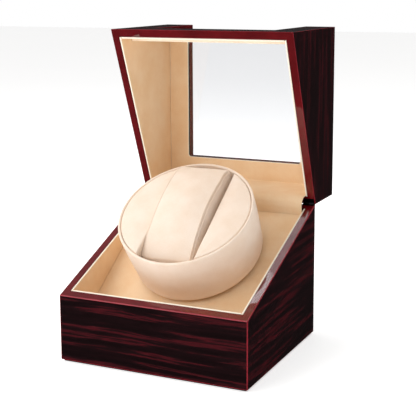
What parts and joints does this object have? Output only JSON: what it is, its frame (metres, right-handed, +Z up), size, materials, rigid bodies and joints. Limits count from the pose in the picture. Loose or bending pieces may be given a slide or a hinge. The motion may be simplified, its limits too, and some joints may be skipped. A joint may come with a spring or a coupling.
{
  "type": "watch winder box",
  "caption": "Box with a slanted split whose windowed lid opens on a drum that turns a watch on a pillow, driven by a gear motor.",
  "frame": {"origin": "middle of the underside, on the surface that the box stands on", "axes": "+Z up, -Y towards the front where the drum faces, +X to the right as seen from the front"},
  "size_m": [0.18, 0.2139, 0.2895],
  "materials": {
    "lacquered_ebony": "dark striped ebony veneer over fibreboard, under clear high-gloss lacquer",
    "suede": "cream microfibre suede with a short nap",
    "felt": "black pressed felt",
    "fibreboard": "bare fibreboard",
    "pine": "planed pine",
    "acrylic": "clear polished acrylic sheet",
    "rubber": "matt black rubber strip",
    "black_steel": "black plated steel",
    "steel": "bright zinc-plated steel",
    "bronze": "sintered bronze",
    "nylon": "natural moulded nylon",
    "black_plastic": "moulded black ABS with a fine grain",
    "grey_plastic": "moulded grey acetal",
    "circuit_board": "green solder mask on glass fibre",
    "lead": "red PVC insulation"
  },
  "bodies": {
    "base": {"underside_felt": "felt", "base_bottom_board": "fibreboard", "base_front_panel": "lacquered_ebony", "base_back_panel": "lacquered_ebony", "base_left_panel": "lacquered_ebony", "base_right_panel": "lacquered_ebony", "base_front_liner": "suede", "base_left_liner": "suede", "base_right_liner": "suede", "base_back_pad": "suede", "deck_panel": "suede", "deck_cleat_left": "pine", "deck_cleat_right": "pine", "gear_case": "nylon", "case_screw_1": "steel", "case_screw_2": "steel", "case_screw_3": "steel", "gear_motor": "steel", "drum_bearing": "bronze", "idler_axle": "steel", "motor_lead": "lead", "control_board": "circuit_board", "control_plate": "black_plastic", "plate_screw_1": "black_steel", "plate_screw_2": "black_steel", "power_socket": "black_plastic", "mode_switch_case": "black_plastic", "power_switch_case": "black_plastic", "base_hinge_leaf_left": "black_steel", "base_hinge_leaf_right": "black_steel"},
    "lid": {"lid_left_panel": "lacquered_ebony", "lid_right_panel": "lacquered_ebony", "lid_rear_panel": "lacquered_ebony", "lid_top_frame": "lacquered_ebony", "lid_front_frame": "lacquered_ebony", "top_window_seal": "rubber", "front_window_seal": "rubber", "top_window_pane": "acrylic", "front_window_pane": "acrylic", "lid_top_liner": "suede", "lid_front_liner": "suede", "lid_left_liner": "suede", "lid_right_liner": "suede", "lid_rear_pad": "suede", "lid_hinge_leaf_left": "black_steel", "lid_hinge_leaf_right": "black_steel"},
    "drum": {"drum_shell": "suede", "drum_face_left": "suede", "drum_face_right": "suede", "slot_channel": "suede", "drum_hub": "black_plastic", "drum_shaft": "steel", "output_gear": "nylon"},
    "pillow": {"pillow_plate": "black_plastic", "pillow_cushion": "suede"},
    "idler": {"idler_gear": "nylon"},
    "pinion": {"motor_pinion": "nylon"},
    "mode_knob": {"mode_switch_knob": "grey_plastic"},
    "rocker": {"power_rocker": "black_plastic"}
  },
  "joints": [
    {"name": "lid_hinge", "type": "hinge", "parent": "base", "child": "lid", "pos_m": [0, 0.08175, 0.126], "axis": [1, 0, 0], "range_deg": [0, 90]},
    {"name": "drum_turn", "type": "hinge", "parent": "base", "child": "drum", "pos_m": [0, 0.0193, 0.0839], "axis": [0, -0.5621, 0.8271], "continuous": true},
    {"name": "idler_turn", "type": "hinge", "parent": "base", "child": "idler", "pos_m": [0.02022, 0.00526, 0.07436], "axis": [0, -0.5621, 0.8271], "continuous": true},
    {"name": "pinion_turn", "type": "hinge", "parent": "base", "child": "pinion", "pos_m": [0.01758, -0.00712, 0.06595], "axis": [0, -0.5621, 0.8271], "continuous": true},
    {"name": "pillow_push_in", "type": "slide", "parent": "drum", "child": "pillow", "axis": [0, 0.5621, -0.8271], "range_m": [-0.06, 0]},
    {"name": "mode_slide", "type": "slide", "parent": "base", "child": "mode_knob", "axis": [1, 0, 0], "range_m": [-0.004, 0.004]},
    {"name": "power_rock", "type": "hinge", "parent": "base", "child": "rocker", "pos_m": [0.019, 0.07825, 0.034], "axis": [1, 0, 0], "range_deg": [0, 18]}
  ],
  "couplings": [
    {"joint": "idler_turn", "follows": "drum_turn", "ratio": -1.75},
    {"joint": "pinion_turn", "follows": "drum_turn", "ratio": 3}
  ]
}
